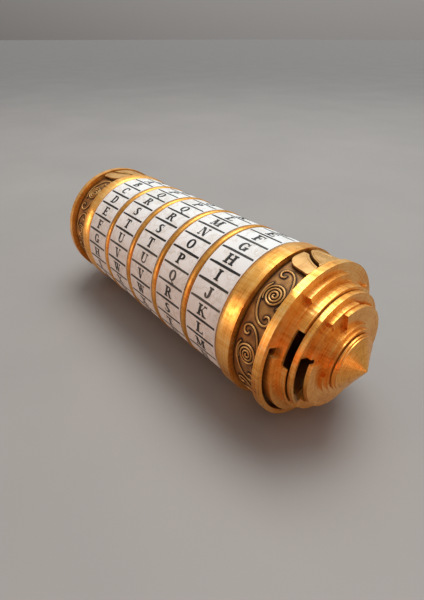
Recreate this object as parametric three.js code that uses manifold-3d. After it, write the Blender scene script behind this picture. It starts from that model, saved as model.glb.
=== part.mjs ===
// Cryptex: a five-dial letter lock with a sliding message chamber.
// Millimetres, +Z up. The axis of the drum is X, and the origin is on it, half way along.
// The far cap (-X) and the barrel stay still, the five dials turn on the barrel, and the
// near cap (+X) pulls the chamber out along +X once every dial's gate faces its tooth.
import * as THREE from "three";
import { mergeVertices } from "three/addons/utils/BufferGeometryUtils.js";
import Module from "manifold-3d";

const wasm = await Module();
wasm.setup();

// Clearances
const seatGap = 0.3;
const runGap = 0.4;
const gateGap = 0.5;

// Drum
const dialCount = 5;
const labelRadius = 29;
const labelThick = 0.4;
const dialWidth = 17;
const codeWall = 4.2;
const spacerWidth = 2.8;
const spacerProud = 0.6;
const labelInset = 0.1;

// Chamber and barrel
const chamberBore = 14;
const chamberWall = 2;
const barrelWall = 2.5;
const chamberEndGap = 3;
const slotOverrun = 2;

// Locking comb and gates
const lockAngle = 180;
const railWidth = 4;
const railHeight = 2.2;
const toothHeight = 2.6;
const toothLength = 4;
const grooveSlack = 1.2;
const railScrewRadius = 1;
const railScrewSink = 0.3;

// Retaining ring at the barrel's mouth
const ringWidth = 3.5;
const ringWall = 4.6;
const ringScrewCount = 3;
const ringScrewRadius = 1.1;
const ringScrewTip = 0.7;
const screwSink = 0.4;
const ringEndGap = 1.5;

// Caps, measured outward from the face beside the dials
const flangeProud = 0.8;
const flangeWidth = 7.6;
const farFlangeWidth = 5.2;
const flangeBevel = 0.8;
const bevelLength = 2;
const bandWidth = 11.5;
const bandRecess = 2.3;
const bandWall = 2.2;
const capFloor = 5.2;
const boltRadius = 2;
const boltHeadRadius = 4;
const boltHeadHeight = 2.5;

// Steps of the end plate: the height of each, how far its arcs stand in from the step below,
// how far its floor stands in from the arcs, and where each arc starts and ends
const plateRim = 2.8;
const plateSteps = [
  { height: 2, inset: 3.3, floorInset: 2.4, arcs: [[-16.5, 26], [73.5, 306.5]] },
  { height: 3.25, inset: 3, floorInset: 2.2, arcs: [[79, 290], [312, 407.5]] },
];
// Steps of the crown that stands on the plate. The first has no arcs and is a plain foot.
const crownSteps = [
  { height: 1.9, inset: 1.2, floorInset: 0, arcs: [] },
  { height: 1.9, inset: 2.6, floorInset: 3.1, arcs: [[-12, 28.5], [124, 320]] },
  { height: 1.45, inset: 0.7, floorInset: 5.4, arcs: [[70, 371.5]] },
  { height: 1.3, inset: 5.7, floorInset: 1.4, arcs: [[90, 435]] },
];
const coneFootHeight = 1;
const coneInset = 1.2;
const coneHeight = 6;

// Leaf plates on each band
const leafThick = 1.2;
const leafMargin = 0.5;
const leafFront = [2, 26];
const leafBack = [-24, -2];

// Facets round the axis: visible rings and hidden rings. Both leave a flat facet underneath.
const outerFacets = 36;
const innerFacets = 24;
const screwFacets = 12;
const arcStep = 10;

// How far a cutting tool runs past the face it cuts, and how far an arc roots in its wall
const cutMargin = 1;
const arcRoot = 1;
const weldDistance = 1e-4;

const gold = { color: 0xd9a441, roughness: 0.35, metalness: 0.6 };
const wash = { color: 0x8a6a3c, roughness: 0.6, metalness: 0.3 };
const paper = { color: 0xf1ece2, roughness: 0.7, metalness: 0 };
const steel = { color: 0xb9bcc0, roughness: 0.35, metalness: 0.9 };

// Sizes that follow from the ones above
const pitch = dialWidth + spacerWidth + 2 * seatGap;
const drumLength = dialCount * dialWidth + (dialCount - 1) * spacerWidth + 2 * dialCount * seatGap;
const capStart = drumLength / 2;
const chamberRadius = chamberBore + chamberWall;
const barrelBore = chamberRadius + runGap;
const barrelRadius = barrelBore + barrelWall;
const codeBore = barrelRadius + runGap;
const codeRadius = codeBore + codeWall;
const shellBore = codeRadius + seatGap;
const shellRadius = labelRadius - labelThick - seatGap;
const toothRadius = chamberRadius + seatGap + railHeight + toothHeight;
const gateRadius = toothRadius + gateGap;
const gateWidth = railWidth + 2 * gateGap;
const ringRadius = barrelRadius + seatGap + ringWall;
const ringEnd = capStart + ringWidth;
const counterboreDepth = ringWidth + ringEndGap;
const counterboreRadius = ringRadius + 2 * seatGap;
const flangeRadius = labelRadius + flangeProud;
const bandRadius = flangeRadius - bandRecess;
const bandEnd = capStart + flangeWidth + bandWidth - 2 * seatGap;
const hubRadius = bandRadius - bandWall - seatGap;
const hubEnd = bandEnd;
const plateStart = hubEnd + seatGap;
const tubeSeatEnd = hubEnd - capFloor - seatGap;
const boltBore = boltRadius + seatGap;

const radians = (degrees) => (degrees * Math.PI) / 180;

// Point at a radius and an angle about X; the angle runs from +Z towards -Y.
const around = (x, radius, degrees) =>
  new THREE.Vector3(x, -radius * Math.sin(radians(degrees)), radius * Math.cos(radians(degrees)));

// Solid of revolution about X from a closed outline of [x, radius] points.
function turned(outline, facets) {
  const points = outline.map(([x, radius]) => new THREE.Vector2(radius, x));
  if (outline[0][1] > 0) points.push(points[0].clone());
  const geometry = new THREE.LatheGeometry(points, facets, Math.PI / facets);
  return geometry.rotateZ(-Math.PI / 2);
}

// Plain tube along X.
function tube(start, end, inner, outer, facets) {
  return turned([[start, inner], [end, inner], [end, outer], [start, outer]].reverse(), facets);
}

// Sector of a ring along X, between two angles.
function sector(start, end, inner, outer, fromAngle, toAngle) {
  const steps = Math.max(1, Math.round((toAngle - fromAngle) / arcStep));
  const shape = new THREE.Shape();
  const corner = (radius, degrees) => {
    const p = around(0, radius, degrees);
    return [-p.z, p.y];
  };
  shape.moveTo(...corner(outer, fromAngle));
  for (let i = 1; i <= steps; i += 1) {
    shape.lineTo(...corner(outer, fromAngle + ((toAngle - fromAngle) * i) / steps));
  }
  for (let i = steps; i >= 0; i -= 1) {
    shape.lineTo(...corner(inner, fromAngle + ((toAngle - fromAngle) * i) / steps));
  }
  const geometry = new THREE.ExtrudeGeometry(shape, { depth: end - start, bevelEnabled: false });
  return geometry.rotateY(Math.PI / 2).translate(start, 0, 0);
}

// Block along X whose base faces the axis at an angle about it.
function block(start, end, width, inner, outer, degrees) {
  const geometry = new THREE.BoxGeometry(end - start, width, outer - inner);
  geometry.translate((start + end) / 2, 0, (inner + outer) / 2);
  return geometry.rotateX(radians(degrees));
}

// Radial pin at a place along X.
function pin(x, radius, inner, outer, degrees, facets) {
  const geometry = new THREE.CylinderGeometry(radius, radius, outer - inner, facets);
  geometry.rotateX(Math.PI / 2).translate(x, 0, (inner + outer) / 2);
  return geometry.rotateX(radians(degrees));
}

// Closed mesh to a solid and back.
function solid(geometry) {
  const bare = geometry.clone();
  bare.deleteAttribute("normal");
  bare.deleteAttribute("uv");
  const merged = mergeVertices(bare, weldDistance);
  const vertProperties = new Float32Array(merged.attributes.position.array);
  const triVerts = new Uint32Array(merged.index.array);
  const mesh = new wasm.Mesh({ numProp: 3, vertProperties, triVerts });
  return new wasm.Manifold(mesh);
}

function surface(body) {
  const mesh = body.getMesh();
  const geometry = new THREE.BufferGeometry();
  geometry.setAttribute("position", new THREE.BufferAttribute(mesh.vertProperties, 3));
  geometry.setIndex(new THREE.BufferAttribute(mesh.triVerts, 1));
  geometry.computeVertexNormals();
  return geometry;
}

const joined = (first, ...others) =>
  surface(others.reduce((whole, next) => whole.add(solid(next)), solid(first)));

const cut = (first, ...others) =>
  surface(others.reduce((whole, next) => whole.subtract(solid(next)), solid(first)));

// The same shape at the other end of the drum.
function mirrored(geometry) {
  const flipped = geometry.index ? geometry.toNonIndexed() : geometry.clone();
  flipped.scale(-1, 1, 1);
  const p = flipped.attributes.position;
  for (let i = 0; i < p.count; i += 3) {
    const a = new THREE.Vector3().fromBufferAttribute(p, i);
    const c = new THREE.Vector3().fromBufferAttribute(p, i + 2);
    p.setXYZ(i, c.x, c.y, c.z);
    p.setXYZ(i + 2, a.x, a.y, a.z);
  }
  flipped.deleteAttribute("normal");
  flipped.computeVertexNormals();
  return flipped;
}

const cryptex = new THREE.Group();

function addPiece(name, geometry, look) {
  const mesh = new THREE.Mesh(geometry, new THREE.MeshStandardMaterial(look));
  mesh.name = name;
  cryptex.add(mesh);
}

// Barrel: the fixed tube that the dials turn on. Its slot lets the comb's teeth reach the dials.
const barrelStart = -tubeSeatEnd + seatGap;
const slotStart = -capStart - slotOverrun;
const barrelBody = tube(barrelStart, ringEnd, barrelBore, barrelRadius, innerFacets);
const slotEnd = ringEnd + cutMargin;
const slotInner = barrelBore - cutMargin;
const barrelSlot = block(slotStart, slotEnd, gateWidth, slotInner, gateRadius, lockAngle);
const ringMiddle = capStart + ringWidth / 2;
const ringScrewAngles = Array.from({ length: ringScrewCount }, (_, i) => (360 * i) / ringScrewCount);
const ringScrewInner = barrelBore + ringScrewTip;
const ringScrewOuter = ringRadius - screwSink;
const ringHoleInner = barrelBore - cutMargin;
const ringHoleOuter = ringRadius + cutMargin;
const ringScrewHoles = ringScrewAngles.map((angle) =>
  pin(ringMiddle, ringScrewRadius + seatGap, ringHoleInner, ringHoleOuter, angle, screwFacets));
addPiece("barrel_tube", cut(barrelBody, barrelSlot, ...ringScrewHoles), gold);

// Retaining ring and its grub screws: they keep the dials on the barrel.
const ringBody = tube(capStart, ringEnd, barrelRadius + seatGap, ringRadius, innerFacets);
const notchStart = capStart - cutMargin;
const ringNotch = block(notchStart, slotEnd, gateWidth, barrelBore, gateRadius, lockAngle);
addPiece("retaining_ring", cut(ringBody, ringNotch, ...ringScrewHoles), gold);
ringScrewAngles.forEach((angle, i) => {
  const screw = pin(ringMiddle, ringScrewRadius, ringScrewInner, ringScrewOuter, angle, screwFacets);
  addPiece(`ring_screw_${i + 1}`, screw, steel);
});

// Dials: a gold shell, its paper letter band, and inside it the code ring with its gate.
const dialCentre = (i) => (i - (dialCount - 1) / 2) * pitch;
for (let i = 0; i < dialCount; i += 1) {
  const middle = dialCentre(i);
  const left = middle - dialWidth / 2;
  const right = middle + dialWidth / 2;
  const grooveHalf = toothLength / 2 + grooveSlack;
  addPiece(`dial_shell_${i + 1}`, tube(left, right, shellBore, shellRadius, outerFacets), gold);
  const labelInner = labelRadius - labelThick;
  const label = tube(left + labelInset, right - labelInset, labelInner, labelRadius, outerFacets);
  addPiece(`letter_band_${i + 1}`, label, paper);
  const codeOutline = [
    [left, codeBore],
    [middle - grooveHalf, codeBore],
    [middle - grooveHalf, gateRadius],
    [middle + grooveHalf, gateRadius],
    [middle + grooveHalf, codeBore],
    [right, codeBore],
    [right, codeRadius],
    [left, codeRadius],
  ];
  const gateStart = left - cutMargin;
  const gateEnd = right + cutMargin;
  const gate = block(gateStart, gateEnd, gateWidth, barrelBore, gateRadius, lockAngle);
  addPiece(`code_ring_${i + 1}`, cut(turned(codeOutline.reverse(), innerFacets), gate), gold);
}

// Spacer rings: fixed to the barrel between the dials, so that one doesn't drag the next.
for (let i = 0; i < dialCount - 1; i += 1) {
  const middle = (dialCentre(i) + dialCentre(i + 1)) / 2;
  const left = middle - spacerWidth / 2;
  const right = middle + spacerWidth / 2;
  const spacerOuter = labelRadius + spacerProud;
  const ring = tube(left, right, barrelRadius + seatGap, spacerOuter, outerFacets);
  const start = left - cutMargin;
  const notch = block(start, right + cutMargin, gateWidth, barrelBore, gateRadius, lockAngle);
  addPiece(`spacer_ring_${i + 1}`, cut(ring, notch), gold);
}

// Chamber: the inner tube that holds the message, open at its inner end.
const chamberStart = barrelStart + chamberEndGap;
const chamberEnd = tubeSeatEnd;
const railStart = dialCentre(0) - toothLength;
const railEnd = dialCentre(dialCount - 1) + toothLength;
const railInner = chamberRadius + seatGap;
const railOuter = railInner + railHeight;
const railScrewPlaces = [dialCentre(1) - pitch / 2, dialCentre(dialCount - 1) - pitch / 2];
const railScrewInner = chamberBore + screwSink;
const railScrewOuter = railOuter - railScrewSink;
const railHoleInner = chamberBore - cutMargin;
const railHoleOuter = railOuter + cutMargin;
const railScrewHoles = railScrewPlaces.map((x) =>
  pin(x, railScrewRadius + seatGap, railHoleInner, railHoleOuter, lockAngle, screwFacets));
const chamberBody = tube(chamberStart, chamberEnd, chamberBore, chamberRadius, innerFacets);
addPiece("chamber_tube", cut(chamberBody, ...railScrewHoles), gold);

// Comb: a rail in the barrel's slot with one tooth for each dial's gate.
const rail = block(railStart, railEnd, railWidth, railInner, railOuter, lockAngle);
const teeth = Array.from({ length: dialCount }, (_, i) => {
  const middle = dialCentre(i);
  const half = toothLength / 2;
  return block(middle - half, middle + half, railWidth, railInner, toothRadius, lockAngle);
});
const combBody = joined(rail, ...teeth);
addPiece("locking_comb", cut(combBody, ...railScrewHoles), steel);
railScrewPlaces.forEach((x, i) => {
  const screw = pin(x, railScrewRadius, railScrewInner, railScrewOuter, lockAngle, screwFacets);
  addPiece(`comb_screw_${i + 1}`, screw, steel);
});

// Cap pieces, drawn for the near end. The far end takes them mirrored.
function capBody(rimWidth, tubeRadius, mouthRadius) {
  const rimEnd = capStart + rimWidth;
  const mouthEnd = capStart + counterboreDepth;
  const boltSeat = tubeSeatEnd + seatGap;
  const outline = [
    [capStart, mouthRadius],
    [mouthEnd, mouthRadius],
    [mouthEnd, tubeRadius + seatGap],
    [boltSeat, tubeRadius + seatGap],
    [boltSeat, boltBore],
    [hubEnd, boltBore],
    [hubEnd, hubRadius],
    [rimEnd, hubRadius],
    [rimEnd, flangeRadius],
    [capStart + bevelLength, flangeRadius],
    [capStart, flangeRadius - flangeBevel],
  ];
  return turned(outline.reverse(), outerFacets);
}

// Places of a stack of steps: each one's start, arc radius and floor radius.
function stacked(steps, stackStart, stackRadius) {
  let start = stackStart;
  let radius = stackRadius;
  return steps.map((step) => {
    radius -= step.inset;
    const placed = { ...step, start, radius, floor: radius - step.floorInset };
    start += step.height;
    return placed;
  });
}

// One stack as a solid: a turned core on a base outline, with every step's arcs joined to it.
function stackSolid(base, steps, top) {
  const outline = [...base];
  steps.forEach((step) => {
    outline.push([step.start, step.floor], [step.start + step.height, step.floor]);
  });
  outline.push(...top);
  const arcs = steps.flatMap((step) =>
    step.arcs.map(([from, to]) => {
      const inner = step.floor - arcRoot;
      return sector(step.start, step.start + step.height, inner, step.radius, from, to);
    }));
  return joined(turned(outline, outerFacets), ...arcs);
}

const plateStack = stacked(plateSteps, plateStart + plateRim, flangeRadius);
const plateTop = plateStack.at(-1);
const crownStart = plateTop.start + plateTop.height + seatGap;
const crownStack = stacked(crownSteps, crownStart, plateTop.radius);
const crownTop = crownStack.at(-1);
const footStart = crownTop.start + crownTop.height;
const crownEnd = footStart + coneFootHeight;

function endPlate() {
  const base = [
    [plateStart, boltBore],
    [plateStart, flangeRadius],
    [plateStart + plateRim, flangeRadius],
  ];
  return stackSolid(base, plateStack, [[crownStart - seatGap, boltBore]]);
}

function crown() {
  const top = [
    [crownEnd, crownTop.floor],
    [crownEnd, boltBore],
  ];
  return stackSolid([[crownStart, boltBore]], crownStack, top);
}

const coneStart = crownEnd + seatGap;
const coneRadius = crownTop.floor - coneInset;
const boltEnd = coneStart + coneHeight / 2;
function cone() {
  const outline = [
    [coneStart + coneHeight, 0],
    [coneStart, coneRadius],
    [coneStart, boltBore],
    [boltEnd + seatGap, boltBore],
    [boltEnd + seatGap, 0],
  ];
  return turned(outline.reverse(), outerFacets);
}

function bolt() {
  const headStart = tubeSeatEnd - boltHeadHeight;
  const outline = [
    [boltEnd, 0],
    [boltEnd, boltRadius],
    [headStart + boltHeadHeight, boltRadius],
    [headStart + boltHeadHeight, boltHeadRadius],
    [headStart, boltHeadRadius],
    [headStart, 0],
  ];
  return turned(outline.reverse(), screwFacets);
}

function leaf(rimWidth, [from, to]) {
  const start = capStart + rimWidth + seatGap + leafMargin;
  const inner = bandRadius + seatGap;
  return sector(start, bandEnd - leafMargin, inner, inner + leafThick, from, to);
}

function band(rimWidth) {
  const start = capStart + rimWidth + seatGap;
  return tube(start, bandEnd, hubRadius + seatGap, bandRadius, outerFacets);
}

// Near cap: pulls out with the chamber. Its mouth clears the retaining ring.
addPiece("near_cap_body", capBody(flangeWidth, chamberRadius, counterboreRadius), gold);
addPiece("near_scroll_band", band(flangeWidth), wash);
addPiece("near_leaf_front", leaf(flangeWidth, leafFront), gold);
addPiece("near_leaf_back", leaf(flangeWidth, leafBack), gold);
addPiece("near_end_plate", endPlate(), gold);
addPiece("near_crown", crown(), gold);
addPiece("near_cone", cone(), gold);
addPiece("near_cap_bolt", bolt(), steel);

// Far cap: fixed to the barrel, which seats in its bore. Its rim is narrower and its band wider.
const farBody = capBody(farFlangeWidth, barrelRadius, barrelRadius + seatGap);
addPiece("far_cap_body", mirrored(farBody), gold);
addPiece("far_scroll_band", mirrored(band(farFlangeWidth)), wash);
addPiece("far_leaf_front", mirrored(leaf(farFlangeWidth, leafFront)), gold);
addPiece("far_leaf_back", mirrored(leaf(farFlangeWidth, leafBack)), gold);
addPiece("far_end_plate", mirrored(endPlate()), gold);
addPiece("far_crown", mirrored(crown()), gold);
addPiece("far_cone", mirrored(cone()), gold);
addPiece("far_cap_bolt", mirrored(bolt()), steel);

export default cryptex;
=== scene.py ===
"""Cryptex: a letter lock with five turning dials and a message chamber that slides out of one end.

Metres in the scene, millimetres in the sizes below. The drum's axis is X, and angles round it are
degrees from straight up (+Z) towards the front (-Y). Near is the +X end, which pulls out.
"""
import math
import random

import bpy
from mathutils import Matrix, Vector


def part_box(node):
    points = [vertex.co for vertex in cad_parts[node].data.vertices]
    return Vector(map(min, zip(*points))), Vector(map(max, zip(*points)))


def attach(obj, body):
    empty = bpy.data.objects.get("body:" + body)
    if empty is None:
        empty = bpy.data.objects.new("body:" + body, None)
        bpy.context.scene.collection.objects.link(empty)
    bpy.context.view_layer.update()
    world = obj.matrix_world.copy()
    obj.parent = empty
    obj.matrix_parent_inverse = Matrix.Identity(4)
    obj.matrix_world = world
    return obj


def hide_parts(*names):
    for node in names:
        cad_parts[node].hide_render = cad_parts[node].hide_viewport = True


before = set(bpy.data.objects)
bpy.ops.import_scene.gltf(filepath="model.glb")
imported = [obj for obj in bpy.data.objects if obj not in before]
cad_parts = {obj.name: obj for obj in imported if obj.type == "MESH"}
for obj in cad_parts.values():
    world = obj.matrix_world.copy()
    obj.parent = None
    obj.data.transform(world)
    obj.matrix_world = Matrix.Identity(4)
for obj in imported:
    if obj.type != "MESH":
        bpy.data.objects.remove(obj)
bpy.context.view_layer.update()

MM = 0.001
FACETS = 36
DIALS = 5
DIAL_PITCH = 20.4
# The letter labels: outer radius and thickness of the paper
LABEL_RADIUS = 29.0
LABEL_THICK = 0.4


def reach(node):
    """Start and end along the axis, and outer radius, of a turned solid, in millimetres."""
    low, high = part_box(node)
    return low.x / MM, high.x / MM, high.z / MM / math.cos(math.pi / FACETS)


SEAT_GAP = 0.3

# Places along the axis and radii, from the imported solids
CAP_START, _, RIM_RADIUS = reach("near_cap_body")
BAND_START, BAND_END, BAND_RADIUS = reach("near_scroll_band")
FAR_BAND_START = -reach("far_scroll_band")[1]
FAR_RIM_END = FAR_BAND_START - SEAT_GAP
PLATE_START, PLATE_END, _ = reach("near_end_plate")
CROWN_START, CROWN_END, _ = reach("near_crown")
CONE_START, CONE_END, CONE_RADIUS = reach("near_cone")
BARREL_START, BARREL_END, BARREL_RADIUS = reach("barrel_tube")
CHAMBER_START, CHAMBER_END, CHAMBER_RADIUS = reach("chamber_tube")
RING_START, RING_END, RING_RADIUS = reach("retaining_ring")
RIM_END = BAND_START - SEAT_GAP
HUB_END = BAND_END
HUB_RADIUS = 25.0
BOLT_BORE = 2.3
GATE_WIDTH = 5.0
GATE_RADIUS = 21.6
# How far a cutting block runs past what it cuts
OVERCUT = 1.0

# Round-off on printed edges, and steps of a turned surface, in degrees
EDGE = 0.12
FINE_STEP = 2.0
INNER_STEP = 4.0
SMOOTH_ANGLE = 33
# Points closer than this are one point, in metres
MERGE = 1e-6

# Steps of the end plate and the crown: height, arc radius, floor radius, arcs
PLATE_RIM = 2.8
PLATE_STEPS = [
    (2.0, 26.5, 24.1, [(-16.5, 26), (73.5, 306.5)]),
    (3.25, 23.5, 21.3, [(79, 290), (312, 407.5)]),
]
CROWN_STEPS = [
    (1.9, 22.3, 22.3, []),
    (1.9, 19.7, 16.6, [(-12, 28.5), (124, 320)]),
    (1.45, 19.0, 13.6, [(70, 371.5)]),
    (1.3, 13.3, 11.9, [(90, 435)]),
]


# ---------------------------------------------------------------- modelling

def selected(*pieces):
    """Selects these pieces alone and makes the first one active."""
    bpy.ops.object.select_all(action="DESELECT")
    for piece in pieces:
        piece.select_set(True)
    bpy.context.view_layer.objects.active = pieces[0]


def editing(*pieces):
    """Opens these pieces alone in edit mode with everything in them selected."""
    if bpy.context.mode != "OBJECT":
        bpy.ops.object.mode_set(mode="OBJECT")
    selected(*pieces)
    bpy.ops.object.mode_set(mode="EDIT")
    bpy.ops.mesh.select_all(action="SELECT")


def faced_out(piece):
    """Leaves edit mode with every selected face pointing out."""
    bpy.ops.mesh.normals_make_consistent(inside=False)
    bpy.ops.object.mode_set(mode="OBJECT")
    return piece


def closed(piece):
    """Leaves edit mode with doubles merged and every face pointing out."""
    bpy.ops.mesh.select_all(action="SELECT")
    bpy.ops.mesh.remove_doubles(threshold=MERGE)
    return faced_out(piece)


def joined(pieces, name):
    """Joins pieces into the first one, under a new name."""
    selected(*pieces)
    bpy.ops.object.join()
    pieces[0].name = name
    return pieces[0]


def applied(piece, change):
    """Applies one of a piece's modifiers."""
    selected(piece)
    bpy.ops.object.modifier_apply(modifier=change.name)
    return piece


def turn(degrees):
    """Turns what is selected about the drum's axis. The operator turns the other way."""
    bpy.ops.transform.rotate(value=-math.radians(degrees), orient_axis="X", center_override=(0, 0, 0))


def turned(piece, degrees):
    """Turns a whole piece about the drum's axis."""
    editing(piece)
    turn(degrees)
    bpy.ops.object.mode_set(mode="OBJECT")
    return piece


def drawn(name, outline):
    """One vertex drawn out, by extruding it, along an outline of (x, radius) in the XZ plane."""
    bpy.ops.object.select_all(action="DESELECT")
    bpy.ops.mesh.primitive_plane_add(size=MM, location=(0, 0, 0))
    piece = bpy.context.object
    piece.name = name
    editing(piece)
    bpy.ops.mesh.merge(type="CENTER")
    x, radius = outline[0]
    bpy.ops.transform.translate(value=(x * MM, 0, radius * MM))
    for (xa, ra), (xb, rb) in zip(outline, outline[1:]):
        move = {"value": ((xb - xa) * MM, 0, (rb - ra) * MM)}
        bpy.ops.mesh.extrude_region_move(TRANSFORM_OT_translate=move)
    bpy.ops.mesh.select_all(action="SELECT")
    return piece


def spun(name, outline, start=0.0, sweep=360.0, step=FINE_STEP):
    """A section spun about the drum's axis: a full ring, or an arc between two angles."""
    piece = drawn(name, outline)
    whole = sweep >= 360
    on_axis = outline[0][1] == 0 and outline[-1][1] == 0
    if not on_axis:
        bpy.ops.mesh.edge_face_add()
    if whole and not on_axis:
        bpy.ops.mesh.delete(type="ONLY_FACE")
    bpy.ops.mesh.select_all(action="SELECT")
    turn(start)
    count = max(1, round(sweep / step))
    bpy.ops.mesh.spin(steps=count, angle=math.radians(sweep), center=(0, 0, 0), axis=(-1, 0, 0))
    return closed(piece)


def combined(piece, other, operation):
    """Joins another piece to this one, or cuts it out of this one, and removes the other."""
    change = piece.modifiers.new("combine", "BOOLEAN")
    change.operation = operation
    change.solver = "EXACT"
    change.object = other
    applied(piece, change)
    bpy.data.objects.remove(other)
    return piece


def block(name, low, high):
    """A rectangular block between two corners, in millimetres."""
    bpy.ops.object.select_all(action="DESELECT")
    centre = [(a + b) / 2 * MM for a, b in zip(low, high)]
    bpy.ops.mesh.primitive_cube_add(size=1, location=centre)
    piece = bpy.context.object
    piece.name = name
    piece.scale = [(b - a) * MM for a, b in zip(low, high)]
    bpy.ops.object.transform_apply(location=True, rotation=True, scale=True)
    return piece


def softened(piece, width=EDGE, segments=2, angle=35):
    """Rounds every sharp edge as a printed or machined edge is."""
    edge = piece.modifiers.new("edge", "BEVEL")
    edge.width = width * MM
    edge.segments = segments
    edge.limit_method = "ANGLE"
    edge.angle_limit = math.radians(angle)
    edge.use_clamp_overlap = True
    return applied(piece, edge)


def flat_curve(name, points, half_thick):
    """A closed outline of (x, y) in millimetres, filled and made thick both ways."""
    curve = bpy.data.curves.new(name, "CURVE")
    curve.dimensions = "2D"
    curve.fill_mode = "BOTH"
    curve.extrude = half_thick * MM
    line = curve.splines.new("POLY")
    line.points.add(len(points) - 1)
    for point, (x, y) in zip(line.points, points):
        point.co = (x * MM, y * MM, 0, 1)
    line.use_cyclic_u = True
    made = bpy.data.objects.new(name, curve)
    bpy.context.collection.objects.link(made)
    return made


def sliced(piece, start, end, gap):
    """Cuts a flat piece across at every gap from start to end, so that it can bend round the drum."""
    editing(piece)
    for i in range(math.ceil((end - start) / gap)):
        bpy.ops.mesh.select_all(action="SELECT")
        bpy.ops.mesh.bisect(plane_co=(0, (start + i * gap) * MM, 0), plane_no=(0, 1, 0))
    bpy.ops.object.mode_set(mode="OBJECT")
    return piece


def copied(piece, name):
    """A copy of a piece with its own mesh."""
    twin = piece.copy()
    twin.data = piece.data.copy()
    twin.name = name
    bpy.context.collection.objects.link(twin)
    return twin


def far_side(piece, name):
    """A copy of a near-end piece, mirrored to the far end."""
    twin = copied(piece, name)
    editing(twin)
    bpy.ops.transform.resize(value=(-1, 1, 1), center_override=(0, 0, 0))
    return faced_out(twin)


def moved_far(piece):
    """Mirrors a piece to the far end and keeps its name."""
    name = piece.name
    twin = far_side(piece, "mirrored")
    bpy.data.objects.remove(piece)
    twin.name = name
    return twin


def finished(piece, finish):
    """Gives a piece its one material."""
    piece.data.materials.clear()
    piece.data.materials.append(finish)


def placed(piece, body, finish, nodes=()):
    """Smooths a finished piece, gives it its material, and sets it on its body."""
    selected(piece)
    bpy.ops.object.shade_smooth_by_angle(angle=math.radians(SMOOTH_ANGLE))
    level_faces = piece.modifiers.new("flat faces", "WEIGHTED_NORMAL")
    level_faces.keep_sharp = True
    applied(piece, level_faces)
    finished(piece, finish)
    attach(piece, body)
    if nodes:
        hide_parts(*nodes)


def on_drum(x, degrees, radius):
    """A point on the drum, in metres, from millimetres and degrees."""
    a = math.radians(degrees)
    return Vector((x * MM, -radius * math.sin(a) * MM, radius * math.cos(a) * MM))


def place_on_drum(vertex):
    """A vertex's place along the axis, its radius and its angle, in millimetres and degrees."""
    x, y, z = vertex.co
    return x / MM, math.hypot(y, z) / MM, math.degrees(math.atan2(-y, z)) % 360


# ---------------------------------------------------------------- materials

def linear(colour):
    """An sRGB hex colour as linear RGBA."""
    parts = [int(colour[i:i + 2], 16) / 255 for i in (1, 3, 5)]
    return [c / 12.92 if c <= 0.04045 else ((c + 0.055) / 1.055) ** 2.4 for c in parts] + [1.0]


def material(name):
    """An empty node material."""
    made = bpy.data.materials.new(name)
    made.use_nodes = True
    made.node_tree.nodes.clear()
    return made


def node(tree, kind, settings=None, **inputs):
    """Adds a node, sets its settings, and sets or links its inputs by name or number."""
    made = tree.nodes.new(kind)
    for key, value in (settings or {}).items():
        setattr(made, key, value)
    for key, value in inputs.items():
        socket = made.inputs[int(key[1:])] if key[0] == "_" and key[1:].isdigit() else None
        if socket is None:
            socket = made.inputs[key.replace("_", " ")]
        if isinstance(value, bpy.types.NodeSocket):
            tree.links.new(value, socket)
        else:
            socket.default_value = value
    return made


def ramp(tree, factor, *stops):
    """A colour ramp with stops of (place, hex colour)."""
    made = node(tree, "ShaderNodeValToRGB", Fac=factor)
    points = made.color_ramp.elements
    while len(points) < len(stops):
        points.new(0.5)
    for point, (place, colour) in zip(points, stops):
        point.position = place
        point.color = linear(colour)
    return made.outputs[0]


def in_millimetres(tree):
    """Object coordinates in millimetres."""
    where = node(tree, "ShaderNodeTexCoord").outputs["Object"]
    return node(tree, "ShaderNodeVectorMath", {"operation": "SCALE"}, _0=where, Scale=1 / MM).outputs[0]


def unrolled(tree, where):
    """The place unrolled: (along the axis, round the drum, radius), in millimetres."""
    parts = node(tree, "ShaderNodeSeparateXYZ", _0=where).outputs
    back = node(tree, "ShaderNodeMath", {"operation": "MULTIPLY"}, _0=parts[1], _1=-1.0)
    angle = node(tree, "ShaderNodeMath", {"operation": "ARCTAN2"}, _0=back.outputs[0], _1=parts[2])
    around = node(tree, "ShaderNodeMath", {"operation": "MULTIPLY"}, _0=angle.outputs[0], _1=LABEL_RADIUS)
    flat = node(tree, "ShaderNodeCombineXYZ", _0=0.0, _1=parts[1], _2=parts[2])
    radius = node(tree, "ShaderNodeVectorMath", {"operation": "LENGTH"}, _0=flat.outputs[0])
    return node(tree, "ShaderNodeCombineXYZ", _0=parts[0], _1=around.outputs[0],
                _2=radius.outputs["Value"]).outputs[0]


def streaks(tree, vector, scale, detail=3.0):
    """Noise stretched by its own scale in each direction, one cell to 1/scale millimetres."""
    sized = node(tree, "ShaderNodeVectorMath", {"operation": "MULTIPLY"}, _0=vector, _1=scale)
    return node(tree, "ShaderNodeTexNoise", _0=sized.outputs[0], Scale=1.0, Detail=detail,
                Roughness=0.6).outputs[0]


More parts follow.
